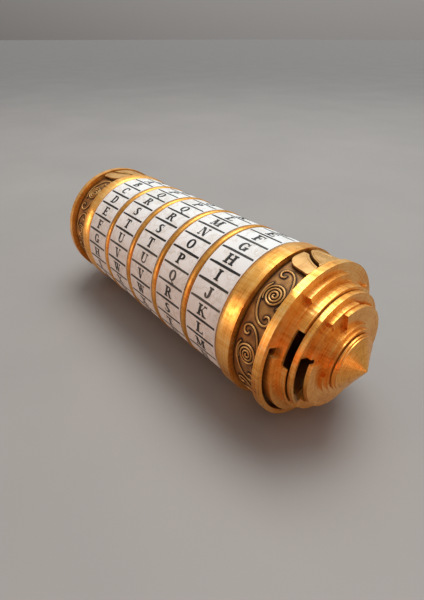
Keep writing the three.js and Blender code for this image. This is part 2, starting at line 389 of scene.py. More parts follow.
def silk_gold(name, pale, warm, deep, roughness):
    """Silk gold PLA, printed in layers across the axis: satin metal shine, pale where it is lit,
    with fine layer lines round it and short facets along it."""
    made = material(name)
    tree = made.node_tree
    where = in_millimetres(tree)
    around = unrolled(tree, where)
    # Layers are 0.2 mm on the real thing, drawn 0.5 mm so that they show
    layers = streaks(tree, around, (2.0, 0.05, 2.0), 2.0)
    facets = streaks(tree, around, (0.06, 0.9, 0.25), 3.0)
    cloud = streaks(tree, where, (0.09, 0.09, 0.09), 3.0)
    grain = streaks(tree, where, (0.6, 0.6, 0.6), 2.0)
    mixed = node(tree, "ShaderNodeMath", {"operation": "ADD"}, _0=layers, _1=facets)
    tone = node(tree, "ShaderNodeMath", {"operation": "MULTIPLY"}, _0=mixed.outputs[0], _1=0.34)
    tone = node(tree, "ShaderNodeMath", {"operation": "MULTIPLY_ADD"}, _0=cloud, _1=0.32,
                _2=tone.outputs[0])
    colour = ramp(tree, tone.outputs[0], (0.34, deep), (0.5, warm), (0.68, pale))
    # Painted shade: near-black in the deep recesses of the end caps, where light does not reach
    recess_shade = node(tree, "ShaderNodeAttribute", {"attribute_name": "wash"}).outputs["Fac"]
    colour = node(tree, "ShaderNodeMix", {"data_type": "RGBA"}, _0=recess_shade, _6=colour,
                  _7=linear("#120A05")).outputs[2]
    rough = node(tree, "ShaderNodeMapRange", _0=grain, _1=0.3, _2=0.7, _3=roughness - 0.06,
                 _4=roughness + 0.09)
    height = node(tree, "ShaderNodeMath", {"operation": "MULTIPLY_ADD"}, _0=facets, _1=0.6, _2=layers)
    bump = node(tree, "ShaderNodeBump", Strength=0.3, Distance=0.00003, Height=height.outputs[0])
    shader = node(tree, "ShaderNodeBsdfPrincipled", Base_Color=colour, Metallic=0.8,
                  Roughness=rough.outputs[0], Normal=bump.outputs[0])
    node(tree, "ShaderNodeOutputMaterial", Surface=shader.outputs[0])
    return made


def washed_shaded_gold(name):
    """Gold print rubbed with a dark brown wash: tan on what stands up, brown in every crevice, darkened
    further there as painted shade.
    """
    made = material(name)
    tree = made.node_tree
    where = in_millimetres(tree)
    around = unrolled(tree, where)
    # How dark the wash lies, with painted shade beside the lines, in the corners and on the petals' sides
    dark = node(tree, "ShaderNodeAttribute", {"attribute_name": "wash"}).outputs["Fac"]
    cloud = streaks(tree, where, (0.25, 0.25, 0.25), 4.0)
    grain = streaks(tree, around, (2.6, 0.4, 2.0), 3.0)
    stain = node(tree, "ShaderNodeMath", {"operation": "MULTIPLY_ADD"}, _0=cloud, _1=0.55, _2=dark)
    stain = node(tree, "ShaderNodeMath", {"operation": "MULTIPLY_ADD"}, _0=grain, _1=0.2,
                 _2=stain.outputs[0])
    colour = ramp(tree, stain.outputs[0], (0.3, "#D2A766"), (0.5, "#AA7E40"), (0.7, "#7C5428"),
                  (0.95, "#2A170A"))
    rough = node(tree, "ShaderNodeMapRange", _0=stain.outputs[0], _1=0.3, _2=1.0, _3=0.42, _4=0.7)
    bump = node(tree, "ShaderNodeBump", Strength=0.5, Distance=0.00006, Height=grain)
    shader = node(tree, "ShaderNodeBsdfPrincipled", Base_Color=colour, Metallic=0.45,
                  Roughness=rough.outputs[0], Normal=bump.outputs[0])
    node(tree, "ShaderNodeOutputMaterial", Surface=shader.outputs[0])
    return made


def marbled_paper(name):
    """Marbled paper label: warm white with faint beige and pink veins, a soft satin coat."""
    made = material(name)
    tree = made.node_tree
    where = in_millimetres(tree)
    around = unrolled(tree, where)
    drift = node(tree, "ShaderNodeTexNoise", _0=around, Scale=0.07, Detail=4.0)
    bent = node(tree, "ShaderNodeVectorMath", {"operation": "MULTIPLY_ADD"},
                _0=drift.outputs["Color"], _1=(26.0, 26.0, 26.0), _2=around)
    veins = node(tree, "ShaderNodeTexNoise", _0=bent.outputs[0], Scale=0.09, Detail=6.0,
                 Roughness=0.62).outputs[0]
    line = node(tree, "ShaderNodeMath", {"operation": "SUBTRACT"}, _0=veins, _1=0.5)
    line = node(tree, "ShaderNodeMath", {"operation": "ABSOLUTE"}, _0=line.outputs[0])
    vein = ramp(tree, line.outputs[0], (0.0, "#CFCDC8"), (0.015, "#DCDCDA"), (0.05, "#E3E7E9"))
    cloud = streaks(tree, bent.outputs[0], (0.05, 0.05, 0.05), 3.0)
    wash = ramp(tree, cloud, (0.35, "#FFFFFF"), (0.55, "#F7F8F8"), (0.75, "#F0ECE6"))
    colour = node(tree, "ShaderNodeMix", {"data_type": "RGBA", "blend_type": "MULTIPLY"},
                  _0=1.0, _6=vein, _7=wash).outputs[2]
    fibre = streaks(tree, where, (4.0, 4.0, 4.0), 2.0)
    rough = node(tree, "ShaderNodeMapRange", _0=fibre, _1=0.3, _2=0.7, _3=0.5, _4=0.66)
    bump = node(tree, "ShaderNodeBump", Strength=0.25, Distance=0.00003, Height=fibre)
    shader = node(tree, "ShaderNodeBsdfPrincipled", Base_Color=colour, Roughness=rough.outputs[0],
                  Normal=bump.outputs[0])
    node(tree, "ShaderNodeOutputMaterial", Surface=shader.outputs[0])
    return made


def printing_ink(name):
    """Black laser toner on the labels: nearly black, a little glossier where it is thick."""
    made = material(name)
    tree = made.node_tree
    where = in_millimetres(tree)
    speck = streaks(tree, where, (2.2, 2.2, 2.2), 3.0)
    colour = ramp(tree, speck, (0.35, "#060604"), (0.6, "#0E0F0B"), (0.8, "#1C1B16"))
    rough = node(tree, "ShaderNodeMapRange", _0=speck, _1=0.3, _2=0.7, _3=0.35, _4=0.55)
    shader = node(tree, "ShaderNodeBsdfPrincipled", Base_Color=colour, Roughness=rough.outputs[0])
    node(tree, "ShaderNodeOutputMaterial", Surface=shader.outputs[0])
    return made


def zinc_steel(name):
    """Zinc-plated steel: cool grey metal with a faint mottled plating and fine brushing."""
    made = material(name)
    tree = made.node_tree
    where = in_millimetres(tree)
    mottle = streaks(tree, where, (0.5, 0.5, 0.5), 4.0)
    brush = streaks(tree, where, (0.3, 5.0, 5.0), 2.0)
    colour = ramp(tree, mottle, (0.3, "#8F9296"), (0.55, "#B4B6B8"), (0.75, "#CFCBC2"))
    rough = node(tree, "ShaderNodeMapRange", _0=mottle, _1=0.3, _2=0.7, _3=0.26, _4=0.42)
    bump = node(tree, "ShaderNodeBump", Strength=0.3, Distance=0.00003, Height=brush)
    shader = node(tree, "ShaderNodeBsdfPrincipled", Base_Color=colour, Metallic=1.0,
                  Roughness=rough.outputs[0], Normal=bump.outputs[0])
    node(tree, "ShaderNodeOutputMaterial", Surface=shader.outputs[0])
    return made


GOLD = silk_gold("silk_gold_pla", "#FFDA94", "#F6B455", "#CC7A2C", 0.33)
MATT_GOLD = silk_gold("matt_gold_pla", "#F0B860", "#D09440", "#A87028", 0.4)
WASHED_SHADED = washed_shaded_gold("washed_shaded_gold_pla")
PAPER = marbled_paper("marbled_paper")
INK = printing_ink("laser_toner")
STEEL = zinc_steel("zinc_plated_steel")


# ---------------------------------------------------------------- dials

CELLS = 26
CELL = 360 / CELLS
CAP_HEIGHT = 4.3
# Strokes of the letters, as shares of their height
STEM = 0.285
HAIR = 0.135
SERIF = 0.115
TOP = 1 - HAIR / 2
BASE = HAIR / 2
INK_THICK = 0.045
# The printed bars between the letters, and how uneven their ends are
BAR_LENGTH = 15.8
BAR_WIDTH = 0.98
BAR_UNEVEN = 0.15
# The flat column of ink is cut this often so that it bends round the drum
INK_SLICE = 1.1
# Each dial's sleeve: its bore, and the bevels of the bore and of the outer edge
SLEEVE_BORE = 23.8
BORE_BEVEL = 0.4
OUTER_BEVEL = 0.5
# Each label: the gap beside it, the round-off of its edge, and where its seam lies, in degrees
LABEL_GAP = 0.1
LABEL_EDGE = 0.08
LABEL_SWEEP = 359.2
FIRST_SEAM = 200
SEAM_SHIFT = 17
# The angle of the letter A on each dial, as the lock was left
FIRST_LETTER = [19.0 - 2 * CELL, 4.72 - 16 * CELL, 8.12 - 16 * CELL, 6.62 - 12 * CELL, 2.62 - 5 * CELL]


# A stroke is a closed outline of (x, y), with the letter 1 high
def upright(x, low=0.0, high=1.0, width=STEM):
    """An upright stroke."""
    return [(x - width / 2, low), (x + width / 2, low), (x + width / 2, high), (x - width / 2, high)]


def level(left, right, y, thick=HAIR):
    """A level stroke."""
    return [(left, y - thick / 2), (right, y - thick / 2), (right, y + thick / 2), (left, y + thick / 2)]


def slope(x0, y0, x1, y1, width):
    """A slanting stroke, cut level at both ends."""
    return [(x0 - width / 2, y0), (x0 + width / 2, y0), (x1 + width / 2, y1), (x1 - width / 2, y1)]


def bowl(x, y, rx, ry, start, end, stem=STEM):
    """A curved stroke, thick at its sides and thin at its top and bottom."""
    count = max(4, round(abs(end - start) / 15))
    angles = [math.radians(start + (end - start) * i / count) for i in range(count + 1)]
    outer = [(x + rx * math.cos(a), y + ry * math.sin(a)) for a in angles]
    inner = [(x + (rx - stem) * math.cos(a), y + (ry - HAIR) * math.sin(a)) for a in angles]
    return outer + inner[::-1]


def foot(x, y, width=STEM):
    """A slab serif at the top or bottom of a stroke."""
    middle = HAIR / 2 if y == 0 else 1 - HAIR / 2
    return level(x - width / 2 - SERIF, x + width / 2 + SERIF, middle)


def post(x, width=STEM):
    """An upright stroke with a serif at each end."""
    return [upright(x, width=width), foot(x, 0, width), foot(x, 1, width)]


def ball(x, y, radius=0.1):
    """The round drop that ends a thin stroke."""
    return [(x + radius * math.cos(math.radians(a)), y + radius * math.sin(math.radians(a)))
            for a in range(0, 360, 40)]


# Each letter's strokes, in shares of its height
LETTERS = {
    "A": [slope(0.02, 0, 0.42, 1, HAIR), slope(0.86, 0, 0.44, 1, STEM), level(0.16, 0.72, 0.33),
          foot(0.02, 0, 0.1), foot(0.86, 0)],
    "B": [*post(0.2), bowl(0.44, 0.755, 0.33, 0.245, -90, 90), bowl(0.46, 0.275, 0.39, 0.275, -90, 90),
          level(0.2, 0.46, TOP), level(0.2, 0.48, 0.52), level(0.2, 0.48, BASE)],
    "C": [bowl(0.46, 0.5, 0.46, 0.5, 48, 312), upright(0.82, 0.64, 1.0, 0.07),
          upright(0.82, 0.0, 0.3, 0.05),
          ball(0.76, 0.74, 0.09)],
    "D": [*post(0.2), bowl(0.42, 0.5, 0.48, 0.5, -90, 90), level(0.2, 0.44, TOP), level(0.2, 0.44, BASE)],
    "E": [*post(0.2), level(0.2, 0.8, TOP), level(0.2, 0.6, 0.5), level(0.2, 0.84, BASE),
          upright(0.8, 0.72, 1.0, 0.08), upright(0.6, 0.36, 0.64, 0.08), upright(0.84, 0.0, 0.3, 0.08)],
    "F": [*post(0.2), level(0.2, 0.8, TOP), level(0.2, 0.6, 0.5), upright(0.8, 0.7, 1.0, 0.08),
          upright(0.6, 0.36, 0.64, 0.08)],
    "G": [bowl(0.46, 0.5, 0.46, 0.5, 48, 325), upright(0.82, 0.66, 1.0, 0.07), upright(0.8, 0.04, 0.42),
          level(0.58, 1.02, 0.42), ball(0.76, 0.75, 0.09)],
    "H": [*post(0.2), *post(0.84), level(0.2, 0.84, 0.5)],
    "I": post(0.3),
    "J": [upright(0.52, 0.26, 1.0), foot(0.52, 1), bowl(0.3, 0.28, 0.325, 0.3, 180, 360),
          ball(0.08, 0.3, 0.11)],
    "K": [*post(0.2), slope(0.3, 0.36, 0.82, 1, 0.1), slope(0.42, 0.56, 0.86, 0, STEM),
          foot(0.82, 1, 0.14), foot(0.86, 0)],
    "L": [*post(0.2), level(0.2, 0.8, BASE), upright(0.8, 0.0, 0.34, 0.08)],
    "M": [*post(0.98), upright(0.14, width=0.1), foot(0.14, 0, 0.1), foot(0.16, 1, 0.14),
          slope(0.2, 1, 0.54, 0.05, STEM), slope(0.57, 0.05, 0.94, 1, 0.09)],
    "N": [upright(0.14, width=0.09), foot(0.14, 0, 0.09), foot(0.14, 1, 0.12), slope(0.2, 1, 0.82, 0, STEM),
          upright(0.86, width=0.09), foot(0.86, 1, 0.09)],
    "O": [bowl(0.48, 0.5, 0.48, 0.5, 0, 180), bowl(0.48, 0.5, 0.48, 0.5, 180, 360)],
    "P": [*post(0.2), bowl(0.46, 0.73, 0.37, 0.27, -90, 90), level(0.2, 0.48, TOP), level(0.2, 0.48, 0.5)],
    "Q": [bowl(0.48, 0.5, 0.48, 0.5, 0, 180), bowl(0.48, 0.5, 0.48, 0.5, 180, 360),
          slope(0.44, 0.14, 0.78, -0.18, 0.17), level(0.66, 0.94, -0.16, 0.08)],
    "R": [*post(0.2), bowl(0.46, 0.74, 0.35, 0.26, -90, 90), level(0.2, 0.48, TOP), level(0.2, 0.48, 0.52),
          slope(0.5, 0.52, 0.84, 0.0, STEM), level(0.76, 1.02, BASE)],
    "S": [bowl(0.42, 0.74, 0.34, 0.26, 40, 262), bowl(0.42, 0.28, 0.37, 0.28, -142, 82),
          slope(0.3, 0.66, 0.56, 0.34, 0.3), upright(0.7, 0.66, 1.0, 0.06), upright(0.09, 0.0, 0.34, 0.06)],
    "T": [upright(0.44), foot(0.44, 0), level(0.04, 0.84, TOP), upright(0.05, 0.68, 1.0, 0.08),
          upright(0.83, 0.68, 1.0, 0.08)],
    "U": [upright(0.2, 0.3, 1.0), foot(0.2, 1), upright(0.82, 0.3, 1.0, 0.1), foot(0.82, 1, 0.1),
          bowl(0.4825, 0.31, 0.3875, 0.31, 180, 360, 0.16)],
    "V": [slope(0.46, 0, 0.16, 1, STEM), slope(0.49, 0, 0.82, 1, 0.09), foot(0.16, 1), foot(0.82, 1, 0.09)],
    "W": [slope(0.4, 0, 0.16, 1, STEM), slope(0.43, 0, 0.64, 0.9, 0.09), slope(0.84, 0, 0.6, 1, STEM),
          slope(0.87, 0, 1.12, 1, 0.09), foot(0.16, 1), foot(0.6, 1), foot(1.12, 1, 0.09)],
    "X": [slope(0.78, 0, 0.2, 1, STEM), slope(0.16, 0, 0.78, 1, 0.09), foot(0.78, 0), foot(0.2, 1),
          foot(0.16, 0, 0.09), foot(0.78, 1, 0.09)],
    "Y": [slope(0.46, 0.44, 0.16, 1, STEM), slope(0.49, 0.44, 0.8, 1, 0.09), upright(0.47, 0.0, 0.46),
          foot(0.47, 0), foot(0.16, 1), foot(0.8, 1, 0.09)],
    "Z": [level(0.08, 0.82, TOP), level(0.06, 0.84, BASE), slope(0.2, 0, 0.7, 1, 0.24),
          upright(0.12, 0.7, 1.0, 0.08), upright(0.82, 0.0, 0.3, 0.08)],
}


def bar(rise, chance):
    """The outline of one printed bar at a height on the column, a little uneven."""
    left, right = (BAR_LENGTH / 2 + chance.uniform(-BAR_UNEVEN, BAR_UNEVEN) for _ in range(2))
    half = [BAR_WIDTH / 2 * chance.uniform(0.85, 1.12) for _ in range(6)]
    return [(-left, rise - half[0] * 0.8), (-left * 0.3, rise - half[1]), (right * 0.4, rise - half[2]),
            (right, rise - half[3] * 0.9), (right - 0.15, rise + half[4] * 0.8),
            (right * 0.2, rise + half[5]), (-left * 0.5, rise + half[0]),
            (-left + 0.1, rise + half[1] * 0.7)]


def alphabet():
    """The alphabet as one flat column of ink, A to Z downwards, with a bar between letters."""
    chance = random.Random(7)
    tall = math.radians(CELL) * LABEL_RADIUS
    outlines = []
    for i, letter in enumerate(sorted(LETTERS)):
        shapes = LETTERS[letter]
        xs = [x for shape in shapes for x, y in shape]
        middle = (min(xs) + max(xs)) / 2
        outlines += [[((x - middle) * CAP_HEIGHT, (y - 0.5) * CAP_HEIGHT - i * tall) for x, y in shape]
                     for shape in shapes]
        outlines.append(bar(-(i + 0.5) * tall, chance))
    strokes = [flat_curve("stroke", outline, INK_THICK) for outline in outlines]
    selected(*strokes)
    bpy.ops.object.convert(target="MESH")
    editing(*strokes)
    closed(strokes[0])
    column = joined(strokes, "alphabet")
    editing(column)
    bpy.ops.mesh.intersect_boolean(operation="UNION", use_self=True, solver="EXACT")
    bpy.ops.object.mode_set(mode="OBJECT")
    return sliced(column, CAP_HEIGHT, -CELLS * tall, -INK_SLICE)


def wrapped(piece):
    """Wraps a flat column round the drum: down the column is round towards the front."""
    for v in piece.data.vertices:
        degrees = math.degrees(-v.co.y / MM / LABEL_RADIUS)
        v.co = on_drum(v.co.x / MM, degrees, LABEL_RADIUS + v.co.z / MM)
    return piece


def make_dials():
    """Five dials: a gold sleeve with its paper label, its letters and its code ring."""
    ink = wrapped(alphabet())
    for i in range(DIALS):
        number = i + 1
        body = f"dial_{number}"
        left, right, radius = reach(f"dial_shell_{number}")
        low, high = left + LABEL_GAP, right - LABEL_GAP
        inner = LABEL_RADIUS - LABEL_THICK
        shoulder = LABEL_RADIUS - LABEL_EDGE
        section = [(low, inner), (high, inner), (high, shoulder), (high - LABEL_EDGE, LABEL_RADIUS),
                   (low + LABEL_EDGE, LABEL_RADIUS), (low, shoulder)]
        label = spun(f"label_{number}", section, FIRST_SEAM + SEAM_SHIFT * i, LABEL_SWEEP)
        placed(label, body, PAPER, [f"letter_band_{number}"])
        mouth = SLEEVE_BORE + BORE_BEVEL
        shoulder = radius - OUTER_BEVEL
        section = [(left, mouth), (left + BORE_BEVEL, SLEEVE_BORE), (right - BORE_BEVEL, SLEEVE_BORE),
                   (right, mouth), (right, shoulder), (right - OUTER_BEVEL, radius),
                   (left + OUTER_BEVEL, radius), (left, shoulder)]
        placed(spun(f"dial_sleeve_{number}", section), body, GOLD, [f"dial_shell_{number}"])
        lettering = copied(ink, f"lettering_{number}")
        editing(lettering)
        bpy.ops.transform.translate(value=((left + right) / 2 * MM, 0, 0))
        turned(lettering, FIRST_LETTER[i])
        placed(lettering, body, INK)
        finished(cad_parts[f"code_ring_{number}"], MATT_GOLD)
    bpy.data.objects.remove(ink)


def gate_cut(piece, start, end):
    """Cuts the notch that the comb's teeth pass through."""
    half = GATE_WIDTH / 2
    notch = block("gate", (start - OVERCUT, -half, -GATE_RADIUS), (end + OVERCUT, half, -CHAMBER_RADIUS))
    return combined(piece, notch, "DIFFERENCE")


# A spacer's crowned face: how far its middle lies inside the ring's radius, and its edges below that
CROWN_DROP = 0.22
CROWN_EDGE = 0.42
CROWN_BOW = 0.1
CROWN_POINTS = 9


def make_spacers():
    """Four crowned rings between the dials, notched for the comb."""
    for number in range(1, DIALS):
        left, right, radius = reach(f"spacer_ring_{number}")
        bore = BARREL_RADIUS + SEAT_GAP
        crown = radius - CROWN_DROP
        section = [(left, bore), (right, bore)]
        for i in range(CROWN_POINTS):
            across = i / (CROWN_POINTS - 1)
            drop = CROWN_EDGE * (2 * across - 1) ** 4 + CROWN_BOW * (2 * across - 1) ** 2
            section.append((right - (right - left) * across, crown - drop))
        ring = gate_cut(spun(f"spacer_{number}", section), left, right)
        placed(ring, "barrel", MATT_GOLD, [f"spacer_ring_{number}"])


# ---------------------------------------------------------------- caps

# Arcs reach this far down and in, to join the step below them
ARC_ROOT = 0.15
ARC_DEPTH = 1.0
# How dark the painted shade is in the deep recesses of the end caps
RECESS_SHADE_DARKNESS = 0.9
# The end plate: depth of the moat, height of the slot's lip, and floor of the pit above the plate's back
MOAT_DEPTH = 2.5
LIP_HEIGHT = 1.2
PIT_FLOOR = 1.0
# The crown: how far its shelf and its window stay below the fourth step
SHELF_DROP = 0.25
WINDOW_DROP = 0.05
# The cone: heights of its two foot rings, and how far each is narrower
FOOT_HEIGHT = 0.75
RING_HEIGHT = 0.55
FOOT_INSET = 0.7
TIP_INSET = 1.3


# An arc, a wall or a cut is (start, end, inner radius, outer radius, first angle, last angle)
def curved_block(name, shape):
    """A length of ring between two angles."""
    start, end, inner, outer, first, last = shape
    section = [(start, inner), (end, inner), (end, outer), (start, outer)]
    return spun(name, section, first, last - first)


def stack(name, start, base, steps, cuts, walls, boss_end=None):
    """A turned stack of steps, with its broken arcs and walls joined on and its windows cut."""
    outline = list(base)
    at = start
    arcs = []
    for height, radius, floor, sweeps in steps:
        outline += [(at, floor), (at + height, floor)]
        arcs += [(at - ARC_ROOT, at + height, floor - ARC_DEPTH, radius, *sweep) for sweep in sweeps]
        at += height
    outline = [p for i, p in enumerate(outline) if i == 0 or p != outline[i - 1]]
    if boss_end:
        at = boss_end
        outline.append((at, floor))
    piece = spun(name, outline + [(at, BOLT_BORE)])
    for shape in arcs + walls:
        combined(piece, curved_block("arc", shape), "UNION")
    for shape in cuts:
        combined(piece, curved_block("window", shape), "DIFFERENCE")
    return softened(piece)


def recess_shade(piece, zones):
    """Marks where painted shade lies in the deep recesses: zones of (start, end, outer radius, first angle,
    last angle).
    """
    dark = piece.data.attributes.new("wash", "FLOAT", "POINT")
    for v in piece.data.vertices:
        x, radius, degrees = place_on_drum(v)
        for start, end, outer, first, last in zones:
            if start < x < end and radius < outer and first < degrees < last:
                dark.data[v.index].value = RECESS_SHADE_DARKNESS
    return piece


def make_end_plate():
    """The rim and its two broken steps, with an open moat between them, and a slot over a dark pit."""
    face = PLATE_START + PLATE_RIM
    second = face + PLATE_STEPS[0][0]
    base = [(PLATE_START, BOLT_BORE), (PLATE_START, RIM_RADIUS), (face, RIM_RADIUS)]
    floor = face - MOAT_DEPTH
    moat = (floor, face + OVERCUT, 26.5, 28.0, 67, 172)
    moat_turn = (floor, face + OVERCUT, 24.2, 26.6, 67, 73.3)
    lip = second + LIP_HEIGHT
    wall = (second - ARC_ROOT, lip, 20.0, 24.1, 46.5, 80.0)
    slot = (lip, PLATE_END + OVERCUT, 6.0, 24.5, 47.6, 78.9)
    pit = (PLATE_START + PIT_FLOOR, PLATE_END + OVERCUT, 6.0, 22.9, 47.6, 122)
    plate = stack("near_plate", face, base, PLATE_STEPS, [moat, moat_turn, slot, pit], [wall])
    # The painted shade lies a little inside each opening, so that its edges stay gold
    return recess_shade(plate, [(lip + 0.15, PLATE_END + 0.1, 23.3, 47.4, 79.1),
                          (PLATE_START + PIT_FLOOR - 0.1, lip - 0.15, 23, 47.4, 122.2),
                          (floor - 0.1, face - 0.3, 28.1, 66.5, 172.5)])


def make_crown():
    """The inner stack of broken steps, with the dark window in its side."""
    third = CROWN_START + CROWN_STEPS[0][0]
    fourth = third + CROWN_STEPS[1][0]
    base = [(CROWN_START, BOLT_BORE)]
    shelf = (third - ARC_ROOT, fourth - SHELF_DROP, 16, 18.6, 28.5, 66)
    window = (CROWN_START - OVERCUT, fourth - WINDOW_DROP, 9.0, 21.5, 67, 108)
    window_foot = (CROWN_START - OVERCUT, fourth - WINDOW_DROP, 9.0, 20.4, 107, 123.5)
    crown = stack("near_crown_stack", CROWN_START, base, CROWN_STEPS, [window, window_foot], [shelf],
                  CROWN_END)
    # Painted shade inside the dark window, where light does not reach
    return recess_shade(crown, [(CROWN_START - 0.1, fourth - 0.2, 21.45, 67.2, 123.3)])


# The cone's ridges, and how far each stands out
TIP_RIDGES = 16
RIDGE_RISE = 0.05


def make_cone():
    """The pointed tip on its two foot rings, with the fine ridges that its printed layers leave."""
    foot = CONE_START + FOOT_HEIGHT
    ring = foot + RING_HEIGHT
    tip_radius = CONE_RADIUS - TIP_INSET
    half_way = (CONE_START + CONE_END) / 2
    outline = [(half_way, 0), (half_way, BOLT_BORE), (CONE_START, BOLT_BORE), (CONE_START, CONE_RADIUS),
               (foot, CONE_RADIUS), (foot, CONE_RADIUS - FOOT_INSET),
               (ring, CONE_RADIUS - FOOT_INSET - 0.05),
               (ring, tip_radius)]
    for i in range(TIP_RIDGES):
        share = (i + 0.5) / TIP_RIDGES
        radius = tip_radius * (1 - share)
        for side, rise in ((-0.25, RIDGE_RISE), (0.25, 0)):
            outline.append((ring + (CONE_END - ring) * (share + side / TIP_RIDGES), radius + rise))
    outline += [(CONE_END - 0.1, 0.12), (CONE_END, 0)]
    return softened(spun("near_tip", outline), EDGE / 2, 1, 40)


# The mouth that the barrel's keeper ring goes into, and the long bevel of the rim
MOUTH_DEPTH = 5.0
MOUTH_RADIUS = 24.4
RIM_BEVEL = 0.8
RIM_BEVEL_LENGTH = 2.0


def make_cap_body(name, rim_end, tube_radius, mouth_radius):
    """A cap's bevelled rim and its hub, bored for the tube that sits in it."""
    mouth_end = CAP_START + MOUTH_DEPTH
    seat = CHAMBER_END + SEAT_GAP
    bore = tube_radius + SEAT_GAP
    outline = [(CAP_START, mouth_radius)]
    if mouth_radius > bore:
        outline += [(mouth_end, mouth_radius), (mouth_end, bore)]
    outline += [(seat, bore), (seat, BOLT_BORE), (HUB_END, BOLT_BORE), (HUB_END, HUB_RADIUS),
                (rim_end, HUB_RADIUS), (rim_end, RIM_RADIUS), (CAP_START + RIM_BEVEL_LENGTH, RIM_RADIUS),
                (CAP_START, RIM_RADIUS - RIM_BEVEL)]
    return softened(spun(name, outline))


# ---------------------------------------------------------------- scroll work

MOTIFS = 7
MOTIF_TURN = 44.6
SPIRAL_ANGLE = 37.0
SPIRAL_PLACE = 0.5
SPIRAL_TURNS = 3.3
SPIRAL_RADIUS = 3.9
SPIRAL_EYE = 0.3
SPIRAL_START = 250
SPIRAL_POINTS = 85
LINE_RADIUS = 0.34
LINE_HEIGHT = 0.16
# The dark wash: on the open band, added beside a line and in a corner, where it is painted shade as well as
# wash, and on what stands up
BAND_WASH = 0.24
LINE_SHADE_AND_WASH = 0.45
CORNER_SHADE_AND_WASH = 0.6
RAISED_WASH = 0.02
LINE_SHADE_REACH = 0.75
# The band is drawn in this many strips, and steps of this many degrees, so that the wash and painted shade
# can follow
STRIPS = 26
BAND_STEP = 1.0


def motif_lines():
    """The scroll's lines on the flat band: (across from the band's middle, down round it), in mm."""
    spiral = []
    for i in range(SPIRAL_POINTS):
        share = i / (SPIRAL_POINTS - 1)
        a = math.radians(SPIRAL_START - share * SPIRAL_TURNS * 360)
        r = SPIRAL_EYE + (SPIRAL_RADIUS - SPIRAL_EYE) * share
        spiral.append((SPIRAL_PLACE + r * math.cos(a), r * math.sin(a)))
    per_degree = math.radians(1) * BAND_RADIUS
    stem = [(3.9, 44.5), (4.7, 41.0), (4.95, 37.0), (4.8, 33.0), (4.3, 29.5), (3.7, 26.2), (2.9, 22.8),
            (1.7, 19.4), (0.0, 16.9), (-1.8, 16.5), (-3.0, 18.1), (-3.2, 20.6), (-2.4, 22.8),
            (-1.2, 22.6), (-0.9, 21.0)]
    upper = [(x, (a - SPIRAL_ANGLE) * per_degree) for x, a in stem]
    lower = [(2 * SPIRAL_PLACE - x, -y) for x, y in upper]
    return spiral, upper, lower


def smooth_line(points, per=6):
    """Points along a smooth curve through the given ones."""
    out = []
    ends = [points[0]] + list(points) + [points[-1]]
    for i in range(1, len(ends) - 2):
        p0, p1, p2, p3 = (Vector(ends[j]) for j in (i - 1, i, i + 1, i + 2))
        for k in range(per):
            t = k / per
            out.append(0.5 * (2 * p1 + (p2 - p0) * t + (2 * p0 - 5 * p1 + 4 * p2 - p3) * t * t
                              + (3 * p1 - p0 - 3 * p2 + p3) * t ** 3))
    out.append(Vector(points[-1]))
    return out


# A raised line starts and ends at this share of its thickness, and gains this much at each point
END_THIN = 0.5
END_TAPER = 0.08


def raised_lines(name, lines, middle, thick, height):
    """Round-topped lines laid on a band, from points of (across, round) in millimetres."""
    made = []
    for points in lines:
        curve = bpy.data.curves.new(name, "CURVE")
        curve.dimensions = "3D"
        curve.bevel_depth = thick * MM
        curve.bevel_resolution = 2
        curve.use_fill_caps = True
        line = curve.splines.new("POLY")
        line.points.add(len(points) - 1)
        for i, (point, p) in enumerate(zip(line.points, points)):
            degrees = math.degrees(p.y / BAND_RADIUS)
            point.co = (*on_drum(middle + p.x, degrees, BAND_RADIUS + height), 1)
            point.radius = min(1.0, END_THIN + END_TAPER * min(i, len(points) - 1 - i))
        obj = bpy.data.objects.new(name, curve)
        bpy.context.collection.objects.link(obj)
        made.append(obj)
    selected(*made)
    bpy.ops.object.convert(target="MESH")
    piece = joined(made, name)
    editing(piece)
    return closed(piece)


def washed_and_shaded(piece, middle, lines, half):
    """Stores how dark the wash and painted shade lie: 1 beside a scroll line or in a corner, 0 on what
    stands up.
    """
    dark = piece.data.attributes.new("wash", "FLOAT", "POINT")
    cells = {}
    for x, y in lines:
        cells.setdefault((round(x), round(y)), []).append((x, y))
    for v in piece.data.vertices:
        x, radius, degrees = place_on_drum(v)
        x -= middle
        around = math.radians(degrees) * BAND_RADIUS
        near = [q for i in (-1, 0, 1) for j in (-1, 0, 1)
                for q in cells.get((round(x) + i, round(around) + j), [])]
        gap = min((math.hypot(x - qx, around - qy) for qx, qy in near), default=BAND_RADIUS)
        # Painted shade with the wash: darker beside each scroll line and towards the band's corners
        value = BAND_WASH + LINE_SHADE_AND_WASH * max(0.0, 1 - max(0.0, gap - LINE_RADIUS) / LINE_SHADE_REACH)
        value = max(value, CORNER_SHADE_AND_WASH * min(1.0, max(0.0, abs(x) - half + 1.0)))
        dark.data[v.index].value = RAISED_WASH if radius > BAND_RADIUS + 0.2 else value


